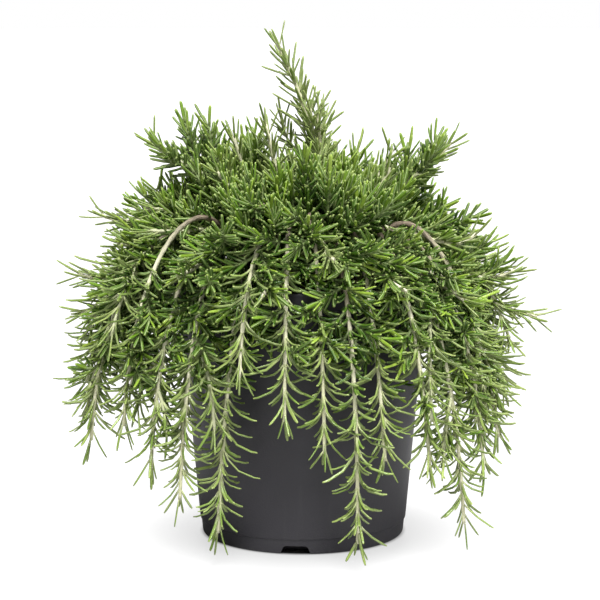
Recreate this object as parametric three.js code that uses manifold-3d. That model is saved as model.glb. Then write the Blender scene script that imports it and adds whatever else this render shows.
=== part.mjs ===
// A creeping rosemary in a plain black nursery pot, in millimetres, +Z up.
// The origin is the centre of the pot's flat underside, and the photograph's viewer stands on -Y.
// The plant is a clump of woody stems that stand in the potting mix, arch outwards and hang over the
// rim. Every stem carries side shoots, and every shoot carries narrow leaves all round it.
import * as THREE from "three";
import { mergeVertices } from "three/addons/utils/BufferGeometryUtils.js";
import Module from "manifold-3d";

// ---------------------------------------------------------------- driving dimensions

// The pot: a one-gallon nursery can, 165 mm tall and 165 mm across its rolled rim.
const POT_HEIGHT = 165;
const POT_TOP_RADIUS = 82.5;
const POT_BASE_RADIUS = 65.5;
const POT_WALL = 1.5;
const POT_FLOOR = 2;
const RIM_HEIGHT = 13;
const RIM_LEDGE = 2.2;
const FOOT_BAND_HEIGHT = 9.5;
const FOOT_BAND_STEP = 0.8;
const POT_SIDES = 32;

// The drain notches in the pot's bottom corner. One faces the viewer, a little to the left.
const NOTCH_COUNT = 3;
const NOTCH_FIRST_BEARING = -4.2;
const NOTCH_FOOT_WIDTH = 19;
const NOTCH_TOP_WIDTH = 14.5;
const NOTCH_HEIGHT = 5.4;
const NOTCH_DEPTH = 13;

// The potting mix, and the hole round the foot of each stem.
const SOIL_CLEARANCE = 0.45;
const SOIL_EDGE_HEIGHT = 146;
const SOIL_CROWN_HEIGHT = 151;
const SOIL_LUMP = 0.9;
const FOOT_DEPTH = 14;
const HOLE_CLEARANCE = 0.9;

// The stems. A section has three sides, and its radius is measured to a corner.
const STEM_FOOT_RADIUS = 2.4;
const STEM_MIDDLE_RADIUS = 1.8;
const STEM_TIP_RADIUS = 1.35;
const SHOOT_RADIUS = 1.4;
const BARE_STEP = 19;

// The leaves stand in whorls: a short band of stem that bears them, then a longer plain one.
const WHORL_BAND = 4;
const WHORL_SPACING = { trailing: 13.6, arching: 13.2, upright: 12.6, leading: 12 };
const TIP_SPACING = 8;
const TIP_LENGTH = 24;
const BUD_LENGTH = 8;
const WHORL_TWIST = 60;
const PLAIN_TWIST = 25;
const LEAF_LENGTH = 22;
const TIP_LEAF_LENGTH = 14;
const LEAF_LEAN = { trailing: 56, arching: 50, upright: 44, leading: 36 };
const TIP_LEAF_LEAN = 26;
const LEAF_RADIUS = 2;
const LEAF_GAP = 0.35;

// The side shoots: upright sprigs along the arch of a stem.
const SHOOT_SPACING = { trailing: 58, arching: 26, upright: 26, leading: 26 };
const SHOOT_LENGTH = 34;
const PLANT_REACH = 148;

// Each stem by the place of its tip: bearing in degrees (0 is the front, 90 the right), distance from
// the pot's axis, height, the pitch at which the tip points (90 up, -90 down), and how high above the
// soil the stem's arch is drawn. Then its foot: bearing and distance from the axis. Stems are listed by
// bearing within each kind. The tallest leans back across the axis, so its tip's distance is below zero
// and its pitch over 90.
const STEMS = {
  trailing: [
    [-152, 114, 62, -84, 92, -161, 48],
    [-136, 120, 48, -84, 98, -144, 42],
    [-116, 128, 84, -80, 88, -131, 48],
    [-92, 136, 86, -78, 92, -109, 42],
    [-67, 142, 70, -86, 84, -75, 48],
    [-57, 130, 82, -86, 96, -60, 42],
    [-49, 122, 58, -86, 82, -53, 48],
    [-38, 120, 42, -86, 94, -41, 48],
    [-28, 109, 22, -84, 126, -18, 47],
    [-20, 110, 118, -84, 80, -11, 48],
    [-6, 106, 92, -86, 90, -9, 42],
    [7, 104, 72, -82, 110, 0, 48],
    [17, 111, 18, -90, 96, 12, 48],
    [27, 108, 66, -82, 98, 23, 48],
    [40, 118, 62, -84, 92, 36, 48],
    [53, 123, 22, -86, 98, 45, 42],
    [62, 126, 52, -86, 84, 56, 42],
    [73, 128, 68, -80, 92, 68, 42],
    [96, 132, 86, -78, 88, 99, 42],
    [112, 130, 52, -82, 96, 116, 48],
    [131, 124, 80, -82, 84, 132, 48],
    [152, 118, 60, -84, 94, 152, 42],
    [176, 114, 50, -84, 90, 176, 42],
  ],
  arching: [
    [-168, 128, 176, 8, 92, -172, 29],
    [-138, 134, 186, 14, 92, -158, 35],
    [-108, 138, 158, 4, 88, -120, 35],
    [-90, 128, 204, 25, 96, -102, 29],
    [-84, 143, 168, 16, 88, -88, 29],
    [-77, 142, 146, -18, 98, -76, 35],
    [-73, 120, 190, 14, 92, -94, 24],
    [-42, 112, 176, -4, 92, -56, 29],
    [-13, 106, 166, -14, 84, -36, 40],
    [10, 104, 188, 10, 94, 7, 29],
    [33, 112, 168, -8, 92, 29, 29],
    [57, 116, 158, -30, 100, 46, 35],
    [80, 110, 194, 44, 92, 78, 29],
    [86, 134, 170, 32, 90, 84, 35],
    [91, 150, 138, -14, 94, 90, 29],
    [115, 134, 170, 12, 92, 134, 29],
    [138, 132, 190, 20, 94, 148, 29],
    [164, 134, 162, 2, 90, 164, 29],
  ],
  upright: [
    [-140, 66, 242, 60, 62, -152, 17],
    [-112, 70, 248, 62, 62, -125, 17],
    [-92, 44, 254, 74, 62, -111, 23],
    [-86, 95, 252, 56, 88, -77, 23],
    [-58, 62, 234, 58, 60, -44, 23],
    [-20, 60, 216, 50, 66, -18, 17],
    [22, 58, 226, 58, 60, 17, 17],
    [64, 60, 236, 74, 60, 60, 23],
    [92, 94, 250, 52, 62, 98, 23],
    [108, 60, 244, 72, 62, 111, 17],
    [138, 54, 244, 66, 62, 142, 23],
    [172, 64, 240, 62, 62, 171, 23],
  ],
  leading: [
    [-60, 27, 262, 74, 76, -68, 6],
    [76, 11, 274, 76, 84, 73, 12],
    [100, -16, 312, 112, 104, 124, 12],
    [160, 26, 250, 74, 70, 159, 12],
  ],
};
const BARE_LENGTH = { trailing: 80, arching: 66, upright: 36, leading: 42 };

// ---------------------------------------------------------------- small helpers

const UP = new THREE.Vector3(0, 0, 1);
const radians = THREE.MathUtils.degToRad;
const lerp = THREE.MathUtils.lerp;
const clamp = THREE.MathUtils.clamp;

// A fixed number from -1 to 1 for each pair of whole numbers, so that no two leaves are quite alike.
function vary(first, second) {
  const mixed = Math.sin(first * 12.9898 + second * 78.233) * 43758.5453;
  return 2 * (mixed - Math.floor(mixed)) - 1;
}

// The level direction at a bearing: 0 towards the viewer, 90 to the viewer's right.
function outward(bearing) {
  return new THREE.Vector3(Math.sin(radians(bearing)), -Math.cos(radians(bearing)), 0);
}

const manifold = await Module();
manifold.setup();

function solidOf(geometry) {
  const bare = geometry.clone();
  bare.deleteAttribute("normal");
  bare.deleteAttribute("uv");
  const merged = mergeVertices(bare, 1e-4);
  const mesh = new manifold.Mesh({
    numProp: 3,
    vertProperties: merged.attributes.position.array,
    triVerts: new Uint32Array(merged.index.array),
  });
  return new manifold.Manifold(mesh);
}

function geometryOf(solid) {
  const mesh = solid.getMesh();
  return new THREE.BufferGeometry()
    .setAttribute("position", new THREE.BufferAttribute(mesh.vertProperties, 3))
    .setIndex(new THREE.BufferAttribute(mesh.triVerts, 1));
}

// ---------------------------------------------------------------- pot

// The outer radius of the pot at a height, with the foot band and the rim.
function potRadius(height) {
  if (height < FOOT_BAND_HEIGHT) return wallRadius(height) - FOOT_BAND_STEP;
  if (height > POT_HEIGHT - RIM_HEIGHT) return POT_TOP_RADIUS;
  return wallRadius(height);
}

function wallRadius(height) {
  return lerp(POT_BASE_RADIUS, POT_TOP_RADIUS - RIM_LEDGE, height / POT_HEIGHT);
}

function turned(profile) {
  const points = profile.map(([radius, height]) => new THREE.Vector2(radius, height));
  return new THREE.LatheGeometry(points, POT_SIDES).rotateX(Math.PI / 2);
}

function makePot() {
  const ledge = POT_HEIGHT - RIM_HEIGHT;
  const bandTop = FOOT_BAND_HEIGHT;
  const edge = 1.2;
  const body = turned([
    [0, 0],
    [potRadius(0) - edge, 0],
    [potRadius(0), edge],
    [potRadius(bandTop - 0.1), bandTop],
    [wallRadius(bandTop), bandTop + FOOT_BAND_STEP],
    [wallRadius(ledge), ledge],
    [POT_TOP_RADIUS, ledge + RIM_LEDGE],
    [POT_TOP_RADIUS, POT_HEIGHT - edge],
    [POT_TOP_RADIUS - edge, POT_HEIGHT],
    [wallRadius(POT_HEIGHT) - POT_WALL, POT_HEIGHT],
    [potRadius(0) - POT_WALL, POT_FLOOR],
    [0, POT_FLOOR],
  ]);
  let pot = solidOf(body);
  for (let i = 0; i < NOTCH_COUNT; i++) {
    const bearing = NOTCH_FIRST_BEARING + (i * 360) / NOTCH_COUNT;
    pot = pot.subtract(solidOf(notchCutter(bearing)));
  }
  return geometryOf(pot);
}

// A wedge of trapezoid section, wide at the ground, pushed into the pot's bottom corner.
function notchCutter(bearing) {
  const below = -1;
  const flare = (NOTCH_FOOT_WIDTH - NOTCH_TOP_WIDTH) / 2 / NOTCH_HEIGHT;
  const footHalf = NOTCH_FOOT_WIDTH / 2 - flare * below;
  const section = new THREE.Shape([
    new THREE.Vector2(-footHalf, below),
    new THREE.Vector2(footHalf, below),
    new THREE.Vector2(NOTCH_TOP_WIDTH / 2, NOTCH_HEIGHT),
    new THREE.Vector2(-NOTCH_TOP_WIDTH / 2, NOTCH_HEIGHT),
  ]);
  const reach = POT_BASE_RADIUS + 5;
  return new THREE.ExtrudeGeometry(section, { depth: NOTCH_DEPTH + 5, bevelEnabled: false })
    .rotateX(Math.PI / 2)
    .translate(0, -reach + NOTCH_DEPTH + 5, 0)
    .rotateZ(radians(bearing));
}

// ---------------------------------------------------------------- potting mix

function soilHeight(radius) {
  const edgeRadius = wallRadius(SOIL_EDGE_HEIGHT) - POT_WALL;
  return lerp(SOIL_CROWN_HEIGHT, SOIL_EDGE_HEIGHT, (radius / edgeRadius) ** 2);
}

// The mix fills the pot, is mounded a little under the plant, and is lumpy on top.
function makeSoil(stems) {
  const foot = potRadius(0) - POT_WALL - SOIL_CLEARANCE;
  const edge = wallRadius(SOIL_EDGE_HEIGHT) - POT_WALL - SOIL_CLEARANCE;
  const rings = [edge * 0.8, edge * 0.55, edge * 0.28];
  const body = turned([
    [0, POT_FLOOR + SOIL_CLEARANCE],
    [foot, POT_FLOOR + SOIL_CLEARANCE],
    [edge, SOIL_EDGE_HEIGHT],
    ...rings.map((radius) => [radius, soilHeight(radius)]),
    [0, SOIL_CROWN_HEIGHT],
  ]);
  const place = body.attributes.position;
  for (let i = 0; i < place.count; i++) {
    const [x, y, z] = [place.getX(i), place.getY(i), place.getZ(i)];
    const isSide = z < SOIL_EDGE_HEIGHT + 0.1;
    if (!isSide) place.setZ(i, z + SOIL_LUMP * Math.sin(0.21 * x + 1) * Math.cos(0.17 * y));
  }
  let soil = solidOf(body);
  for (const stem of stems) soil = soil.subtract(solidOf(footHole(stem)));
  return geometryOf(soil);
}

// A plain three-sided hole, a little larger than the stem's own foot.
function footHole(stem) {
  const bottom = stem.foot.clone().addScaledVector(UP, -FOOT_DEPTH - HOLE_CLEARANCE / 2);
  const top = stem.foot.clone().addScaledVector(UP, FOOT_DEPTH);
  const shell = { points: [], faces: [] };
  const radius = STEM_FOOT_RADIUS + HOLE_CLEARANCE;
  const stations = [bottom, top].map((centre) => ({ centre, radius, twist: 0 }));
  const tube = layTube(shell, stations);
  tube.facets.forEach((facet) => shell.faces.push(facet.corners));
  shell.faces.push([...tube.lastRing]);
  return shellGeometry(shell);
}

// ---------------------------------------------------------------- tubes and leaves as one skin

function shellGeometry(shell) {
  return new THREE.BufferGeometry().setFromPoints(shell.points).setIndex(shell.faces.flat());
}

// Lays a three-sided tube through its stations. Each ring is turned against the last, so a leafy
// stretch is a stack of upright and inverted triangles. The tube starts on a root facet where it
// grows from another tube, and on a flat foot otherwise. Returns its side facets and its last ring.
function layTube(shell, stations, root = null) {
  const facets = [];
  let along = stations[1].centre.clone().sub(stations[0].centre).normalize();
  let side = sideOf(along);
  let turn = 0;
  let ring = root ? [...root.corners] : null;
  stations.forEach((station, k) => {
    const next = stations[Math.min(k + 1, stations.length - 1)].centre;
    const last = stations[Math.max(k - 1, 0)].centre;
    along = next.clone().sub(last).normalize();
    side = side.clone().addScaledVector(along, -side.dot(along)).normalize();
    const across = along.clone().cross(side);
    if (root && k === 0) {
      turn = turnOf(shell, ring, station.centre, side, across);
      return;
    }
    turn += station.twist;
    const fresh = [0, 1, 2].map((corner) => {
      const angle = radians(turn + 120 * corner);
      const spoke = side.clone().multiplyScalar(Math.cos(angle));
      spoke.addScaledVector(across, Math.sin(angle));
      shell.points.push(station.centre.clone().addScaledVector(spoke, station.radius));
      return shell.points.length - 1;
    });
    if (!ring) {
      shell.faces.push([fresh[0], fresh[2], fresh[1]]);
    } else {
      for (let j = 0; j < 3; j++) {
        const [a, b] = [ring[j], ring[(j + 1) % 3]];
        const [d, c] = [fresh[j], fresh[(j + 1) % 3]];
        facets.push(makeFacet(shell, [a, b, d], k, along, station.leafy));
        facets.push(makeFacet(shell, [b, c, d], k, along, station.leafy));
      }
    }
    ring = fresh;
  });
  return { facets, lastRing: ring };
}

function makeFacet(shell, corners, k, along, bearsLeaf) {
  const [a, b, c] = corners.map((i) => shell.points[i]);
  const centre = new THREE.Vector3().add(a).add(b).add(c).divideScalar(3);
  const normal = b.clone().sub(a).cross(c.clone().sub(a)).normalize();
  const out = normal.clone().addScaledVector(along, -normal.dot(along)).normalize();
  return { corners, centre, normal, out, along: along.clone(), station: k, bearsLeaf };
}

// Any direction square to the tube's first stretch, the same for every upright foot.
function sideOf(along) {
  const reference = Math.abs(along.x) < 0.9 ? new THREE.Vector3(1, 0, 0) : new THREE.Vector3(0, 1, 0);
  return reference.addScaledVector(along, -reference.dot(along)).normalize();
}

// The turn that lines a side shoot's first ring up with the facet that it grows from.
function turnOf(shell, ring, centre, side, across) {
  const angles = ring.map((index, corner) => {
    const spoke = shell.points[index].clone().sub(centre);
    return Math.atan2(spoke.dot(across), spoke.dot(side)) - radians(120 * corner);
  });
  const sine = angles.reduce((sum, angle) => sum + Math.sin(angle), 0);
  const cosine = angles.reduce((sum, angle) => sum + Math.cos(angle), 0);
  return THREE.MathUtils.radToDeg(Math.atan2(sine, cosine));
}

// ---------------------------------------------------------------- keeping leaves clear of each other

const CELL = 12;

// Every length of stem and leaf laid so far, as tapered rods, sorted into cells of space.
const rods = new Map();

function cellsOf(rod) {
  const reach = Math.max(rod.startRadius, rod.endRadius) + LEAF_GAP;
  const low = rod.start.clone().min(rod.end).addScalar(-reach).divideScalar(CELL).floor();
  const high = rod.start.clone().max(rod.end).addScalar(reach).divideScalar(CELL).floor();
  const keys = [];
  for (let x = low.x; x <= high.x; x++)
    for (let y = low.y; y <= high.y; y++)
      for (let z = low.z; z <= high.z; z++) keys.push(`${x},${y},${z}`);
  return keys;
}

function remember(rod) {
  for (const key of cellsOf(rod)) {
    if (!rods.has(key)) rods.set(key, []);
    rods.get(key).push(rod);
  }
}

// A side shoot touches its parent at its root.
function isJoint(child, parent) {
  return child.root === parent.shoot && child.kind === "tube" && child.station <= 1;
}

// Two lengths of one shoot touch where they meet, so neighbours there aren't compared.
function areNeighbours(one, other) {
  if (one.shoot !== other.shoot) return isJoint(one, other) || isJoint(other, one);
  if (one.kind === "tip" && other.kind === "tip") return false;
  return Math.abs(one.station - other.station) <= 1;
}

function isClear(rod) {
  for (const key of cellsOf(rod))
    for (const other of rods.get(key) ?? [])
      if (!areNeighbours(rod, other) && gapBetween(rod, other) < LEAF_GAP) return false;
  return true;
}

// The gap between two tapered rods, from the closest points of their centre lines.
function gapBetween(one, other) {
  const u = one.end.clone().sub(one.start);
  const v = other.end.clone().sub(other.start);
  const w = one.start.clone().sub(other.start);
  const [a, b, c, d, e] = [u.dot(u), u.dot(v), v.dot(v), u.dot(w), v.dot(w)];
  const spread = a * c - b * b;
  let s = spread > 1e-9 ? clamp((b * e - c * d) / spread, 0, 1) : 0;
  const t = clamp((b * s + e) / c, 0, 1);
  s = clamp((b * t - d) / a, 0, 1);
  const from = one.start.clone().addScaledVector(u, s);
  const to = other.start.clone().addScaledVector(v, t);
  const thick = lerp(one.startRadius, one.endRadius, s) + lerp(other.startRadius, other.endRadius, t);
  return from.distanceTo(to) - thick;
}

// Leaves stay off the pot, above the potting mix and above the ground.
function isOutsidePot(point, margin) {
  const radius = Math.hypot(point.x, point.y);
  if (point.z < margin) return false;
  if (point.z > POT_HEIGHT + margin) return true;
  if (radius > potRadius(point.z) + margin) return true;
  const inner = wallRadius(point.z) - POT_WALL - margin;
  return radius < inner && point.z > SOIL_CROWN_HEIGHT + SOIL_LUMP + margin;
}

// ---------------------------------------------------------------- stems

// A cubic curve: up from the foot, over the arch, and into the tip at its pitch.
function stemCurve(foot, [bearing, reach, height, pitch, arch, footBearing]) {
  const tip = outward(bearing).multiplyScalar(reach).addScaledVector(UP, height);
  const shoulder = foot.clone().addScaledVector(UP, arch).addScaledVector(outward(footBearing), 9);
  const heading = outward(bearing).multiplyScalar(Math.cos(radians(pitch)));
  heading.addScaledVector(UP, Math.sin(radians(pitch)));
  const hang = 0.45 + 0.3 * Math.max(0, -Math.sin(radians(pitch)));
  const knee = tip.clone().addScaledVector(heading, -hang * tip.distanceTo(shoulder));
  return new THREE.CubicBezierCurve3(foot, shoulder, knee, tip);
}

// Stations along a leafy stretch: for each whorl a plain band and then a short band with leaves,
// closer together towards the tip. The path gives the centre at a distance along it.
function whorlStations(kind, path, start, length, radiusAt) {
  const stations = [];
  let place = start;
  const add = (step, leafy) => {
    place += step;
    const twist = leafy ? WHORL_TWIST : PLAIN_TWIST;
    stations.push({ centre: path(place), radius: radiusAt(place), twist, leafy, left: length - place });
  };
  while (place < length - WHORL_BAND - 1) {
    const spacing = length - place < TIP_LENGTH ? TIP_SPACING : WHORL_SPACING[kind];
    const room = length - place < 1.4 * spacing ? length - place : spacing;
    add(room - WHORL_BAND, false);
    add(WHORL_BAND, true);
  }
  return stations;
}

// A whole stem: its foot, wide steps where it is bare and woody, then its whorls of leaves.
function stemStations(kind, curve) {
  const length = curve.getLength();
  const path = (place) => curve.getPointAt(Math.min(place / length, 1));
  const radiusAt = (place) => {
    const taper = (2 * place) / length;
    if (taper < 1) return lerp(STEM_FOOT_RADIUS, STEM_MIDDLE_RADIUS, taper);
    return lerp(STEM_MIDDLE_RADIUS, STEM_TIP_RADIUS, taper - 1);
  };
  const bottom = path(0).addScaledVector(UP, -FOOT_DEPTH);
  const stations = [{ centre: bottom, radius: STEM_FOOT_RADIUS, twist: 0 }];
  const bareLength = BARE_LENGTH[kind];
  const bareSteps = Math.round(bareLength / BARE_STEP);
  for (let k = 0; k <= bareSteps; k++) {
    const place = (bareLength * k) / bareSteps;
    stations.push({ centre: path(place), radius: radiusAt(place), twist: 0, left: length - place });
  }
  return [...stations, ...whorlStations(kind, path, bareLength, length, radiusAt)];
}

// A side shoot starts square to its facet and turns upwards.
function shootStations(kind, facet, length, number) {
  const heading = facet.normal.clone().multiplyScalar(0.75).addScaledVector(facet.along, 0.55);
  heading.x += 0.16 * vary(number, 1);
  heading.y += 0.16 * vary(number, 2);
  heading.normalize();
  const lift = heading.clone().multiplyScalar(0.35).addScaledVector(UP, 0.75).normalize();
  const bend = facet.centre.clone().addScaledVector(heading, length * 0.5);
  const tip = bend.clone().addScaledVector(lift, length * 0.5);
  const curve = new THREE.QuadraticBezierCurve3(facet.centre, bend, tip);
  const path = (place) => curve.getPoint(Math.min(place / length, 1));
  const radiusAt = (place) => lerp(SHOOT_RADIUS, STEM_TIP_RADIUS * 0.85, place / length);
  const root = { centre: facet.centre, radius: SHOOT_RADIUS, twist: 0, left: length };
  return [root, ...whorlStations(kind, path, 0, length, radiusAt)];
}

let shootCount = 0;

// Notes a tube's stretches as rods, so that other shoots and leaves stay clear of it.
function tubeRods(stations, shoot, root) {
  return stations.slice(1).map((station, k) => ({
    start: stations[k].centre,
    end: station.centre,
    startRadius: stations[k].radius,
    endRadius: station.radius,
    kind: "tube",
    station: k + 1,
    shoot,
    root,
  }));
}

function layShoot(stem, stations, root = null) {
  const shoot = shootCount++;
  const parent = root ? root.shoot : null;
  const tube = layTube(stem.shell, stations, root);
  tubeRods([...stations, budTip(stations)], shoot, parent).forEach(remember);
  tube.facets.forEach((facet) => Object.assign(facet, { shoot, left: stations[facet.station].left }));
  stem.facets.push(...tube.facets);
  closeTip(stem.shell, stations, tube.lastRing);
  return tube.facets;
}

// The last ring closes in a bud, the youngest leaves pressed together.
function budTip(stations) {
  const [before, end] = stations.slice(-2).map((station) => station.centre);
  const heading = end.clone().sub(before).normalize();
  return { centre: end.clone().addScaledVector(heading, BUD_LENGTH), radius: 0.1 };
}

function closeTip(shell, stations, ring) {
  shell.points.push(budTip(stations).centre);
  const apex = shell.points.length - 1;
  for (let j = 0; j < 3; j++) shell.faces.push([ring[j], ring[(j + 1) % 3], apex]);
}

// Side shoots grow from the facets that face up most, spaced along the stem's arch.
function growSideShoots(stem, facets, number) {
  const leafy = facets.filter((facet) => facet.bearsLeaf);
  const stations = [...new Set(leafy.map((facet) => facet.station))];
  const every = Math.round(SHOOT_SPACING[stem.kind] / WHORL_SPACING[stem.kind]);
  stations.forEach((station, k) => {
    if ((k + number) % every !== 1) return;
    const here = leafy.filter((facet) => facet.station === station);
    const best = here.reduce((top, facet) => (facet.normal.z > top.normal.z ? facet : top));
    const length = SHOOT_LENGTH * (1 + 0.3 * vary(number, k));
    if (best.left < 1.4 * length || best.normal.z < 0.3) return;
    const path = shootStations(stem.kind, best, length, 10 * number + k);
    const probes = tubeRods(path, -1, best.shoot).slice(1);
    if (!probes.every((rod) => isClear({ ...rod, startRadius: 3, endRadius: 3 }))) return;
    if (!path.every(({ centre }) => isOutsidePot(centre, 3))) return;
    if (path.some(({ centre }) => Math.hypot(centre.x, centre.y) > PLANT_REACH)) return;
    best.bearsLeaf = false;
    best.isRoot = true;
    layShoot(stem, path, best);
  });
}

// ---------------------------------------------------------------- leaves

// Other ways to set a leaf that would touch something: turn it, lean it or shorten it.
const LEAF_TRIES = [
  [0, 0, 1],
  [14, 0, 1],
  [-14, 0, 1],
  [0, 14, 1],
  [0, -12, 0.9],
  [18, 10, 0.8],
  [-18, 10, 0.8],
  [0, 0, 0.66],
  [16, -10, 0.6],
  [-16, -10, 0.6],
];

// Raises a facet into a leaf: a three-sided needle that shares the facet's corners.
function raiseLeaf(stem, facet, number) {
  const age = clamp(facet.left / (TIP_LENGTH * 1.5), 0, 1);
  const across = facet.along.clone().cross(facet.out);
  for (const [turn, tilt, share] of LEAF_TRIES) {
    const swing = radians(turn + 7 * vary(number, 3));
    const lean = radians(lerp(TIP_LEAF_LEAN, LEAF_LEAN[stem.kind], age) + tilt + 5 * vary(number, 4));
    const out = facet.out.clone().multiplyScalar(Math.cos(swing));
    out.addScaledVector(across, Math.sin(swing));
    const heading = out.multiplyScalar(Math.sin(lean)).addScaledVector(facet.along, Math.cos(lean));
    if (heading.dot(facet.normal) < 0.3) continue;
    const length = share * lerp(TIP_LEAF_LENGTH, LEAF_LENGTH, age) * (1 + 0.12 * vary(number, 5));
    const apex = facet.centre.clone().addScaledVector(heading, length);
    const middle = facet.centre.clone().lerp(apex, 0.3);
    const shared = { shoot: facet.shoot, station: facet.station };
    const base = { start: facet.centre, end: middle, startRadius: LEAF_RADIUS, endRadius: 1.35, kind: "base" };
    const blade = { start: middle, end: apex, startRadius: 1.35, endRadius: 0.1, kind: "tip" };
    const leafRods = [base, blade].map((rod) => ({ ...rod, ...shared }));
    const probes = [0.1, 0.25, 0.4, 0.55, 0.7, 0.85, 1].map((at) => facet.centre.clone().lerp(apex, at));
    if (!probes.every((point) => isOutsidePot(point, 1.6))) continue;
    if (!leafRods.every(isClear)) continue;
    leafRods.forEach(remember);
    stem.shell.points.push(apex);
    const tip = stem.shell.points.length - 1;
    const [a, b, c] = facet.corners;
    stem.shell.faces.push([a, b, tip], [b, c, tip], [c, a, tip]);
    return true;
  }
  return false;
}

// Lays one stem from its row of the table. The feet stand apart in rings round the axis, in about the
// order of the tips' bearings, so that the stems fan out and clear each other.
function makeStem({ kind, index, row }) {
  const [footBearing, footRadius] = row.slice(-2);
  const foot = outward(footBearing).multiplyScalar(footRadius);
  foot.z = soilHeight(footRadius);
  const name = `${kind}_stem_${String(index + 1).padStart(2, "0")}`;
  const stem = { kind, name, foot, shell: { points: [], faces: [] }, facets: [] };
  const stations = stemStations(kind, stemCurve(foot, row));
  if (!tubeRods(stations, -1, null).every(isClear)) throw new Error(`${name} touches another stem`);
  stem.main = layShoot(stem, stations);
  return stem;
}

function makeStems() {
  const plan = Object.entries(STEMS).flatMap(([kind, rows]) =>
    rows.map((row, index) => ({ kind, index, row })),
  );
  const stems = plan.map(makeStem);
  stems.forEach((stem, number) => growSideShoots(stem, stem.main, number));
  let number = 0;
  for (const stem of stems)
    for (const facet of stem.facets) {
      if (facet.isRoot) continue;
      number += 1;
      if (facet.bearsLeaf && raiseLeaf(stem, facet, number)) continue;
      stem.shell.faces.push(facet.corners);
    }
  return stems;
}

// ---------------------------------------------------------------- the potted plant

const plastic = new THREE.MeshStandardMaterial({ color: 0x3b3a3e, roughness: 0.55, metalness: 0 });
const compost = new THREE.MeshStandardMaterial({ color: 0x2a2019, roughness: 1, metalness: 0 });
const foliage = new THREE.MeshStandardMaterial({ color: 0x4f7a2c, roughness: 0.6, metalness: 0 });

const pottedRosemary = new THREE.Group();

function addPiece(name, geometry, material) {
  const piece = new THREE.Mesh(geometry, material);
  piece.name = name;
  pottedRosemary.add(piece);
}

const stems = makeStems();
addPiece("pot", makePot(), plastic);
addPiece("soil", makeSoil(stems), compost);
stems.forEach((stem) => addPiece(stem.name, shellGeometry(stem.shell), foliage));

export default pottedRosemary;
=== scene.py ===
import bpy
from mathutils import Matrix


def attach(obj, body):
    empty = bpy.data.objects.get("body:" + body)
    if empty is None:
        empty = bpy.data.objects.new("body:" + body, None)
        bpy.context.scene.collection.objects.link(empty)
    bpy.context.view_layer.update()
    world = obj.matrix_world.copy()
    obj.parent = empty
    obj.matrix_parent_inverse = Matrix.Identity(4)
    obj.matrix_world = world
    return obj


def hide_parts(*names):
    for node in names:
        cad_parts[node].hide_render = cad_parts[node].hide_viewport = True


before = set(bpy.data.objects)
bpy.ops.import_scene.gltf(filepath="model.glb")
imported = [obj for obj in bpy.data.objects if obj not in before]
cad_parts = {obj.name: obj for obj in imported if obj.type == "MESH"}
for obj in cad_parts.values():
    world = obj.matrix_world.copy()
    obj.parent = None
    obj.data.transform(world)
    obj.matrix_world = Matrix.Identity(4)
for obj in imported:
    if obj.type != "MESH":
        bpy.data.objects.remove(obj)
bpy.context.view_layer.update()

from types import SimpleNamespace

import bpy
import numpy as np

# ================================ pot
# A one-gallon nursery can, moulded in one piece in charcoal plastic with a satin face.
# Its rim is thick and rolled, its foot band is set back under a fine ridge, and three drain
# notches go through its bottom corner. Sizes are in metres throughout.
POT_HEIGHT = 0.165
POT_RIM_RADIUS = 0.0825
POT_RIM_HEIGHT = 0.013
POT_FOOT_RADIUS = 0.0655
POT_NECK_RADIUS = 0.0803
POT_WALL = 0.0015
POT_FLOOR = 0.002
FOOT_BAND_HEIGHT = 0.0095
FOOT_BAND_STEP = 0.0008
RIDGE_HALF = 0.0004
RIM_UNDERCUT = 0.0018
FLOOR_MIDDLE = 0.012
# How soft each corner of the section is, from the outer bottom one round to the inner one.
CORNER_SOFTNESS = (0.0016, 0.0003, 0.0003, 0.0012, 0.0009, 0.0016, 0.0012, 0.0012)
CORNER_STEPS = 5
WALL_RINGS = 14
POT_SIDES = 192
DARK_CHARCOAL = (0.0232, 0.0213, 0.0270)
LIGHT_CHARCOAL = (0.0270, 0.0250, 0.0310)
POT_DUST = (0.07, 0.068, 0.066)

NOTCH_BEARINGS = (-4.2, 115.8, 235.8)
NOTCH_FOOT_WIDTH = 0.019
NOTCH_TOP_WIDTH = 0.0145
NOTCH_HEIGHT = 0.0054
NOTCH_DEPTH = 0.013
NOTCH_SOFTNESS = 0.0018
NOTCH_OVERSHOOT = 0.002


def wall_radius(height):
    """Outer radius of the tapering wall: it widens evenly from the foot to the top."""
    return POT_FOOT_RADIUS + (POT_NECK_RADIUS - POT_FOOT_RADIUS) * height / POT_HEIGHT


def unit(vectors):
    """Each vector divided by its length."""
    return vectors / np.maximum(np.linalg.norm(vectors, axis=-1, keepdims=True), 1e-12)


def rounded(corners, softness):
    """A line through corners, with each inner corner p softened into the curve
    (1-t)^2 a + 2t(1-t) p + t^2 b between the points a and b that lie `softness` before and after it."""
    corners = np.asarray(corners, float)
    middle = corners[1:-1]
    reach = np.asarray(softness, float)[:, None]
    before = middle + reach * unit(corners[:-2] - middle)
    after = middle + reach * unit(corners[2:] - middle)
    t = np.linspace(0, 1, CORNER_STEPS)[None, :, None]
    arcs = (1 - t) ** 2 * before[:, None] + 2 * t * (1 - t) * middle[:, None] + t**2 * after[:, None]
    return np.vstack([corners[:1], arcs.reshape(-1, corners.shape[1]), corners[-1:]])


def turned(profile, sides):
    """A profile of (radius, height) turned about the upright axis: at angle a its point is
    (r sin a, -r cos a, h). Returns rings of points, one ring for each point of the profile."""
    angle = np.linspace(0, 2 * np.pi, sides, endpoint=False)
    radius, height = np.asarray(profile).T[:, :, None]
    return np.stack([radius * np.sin(angle), -radius * np.cos(angle), height + 0 * angle], -1)


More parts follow.
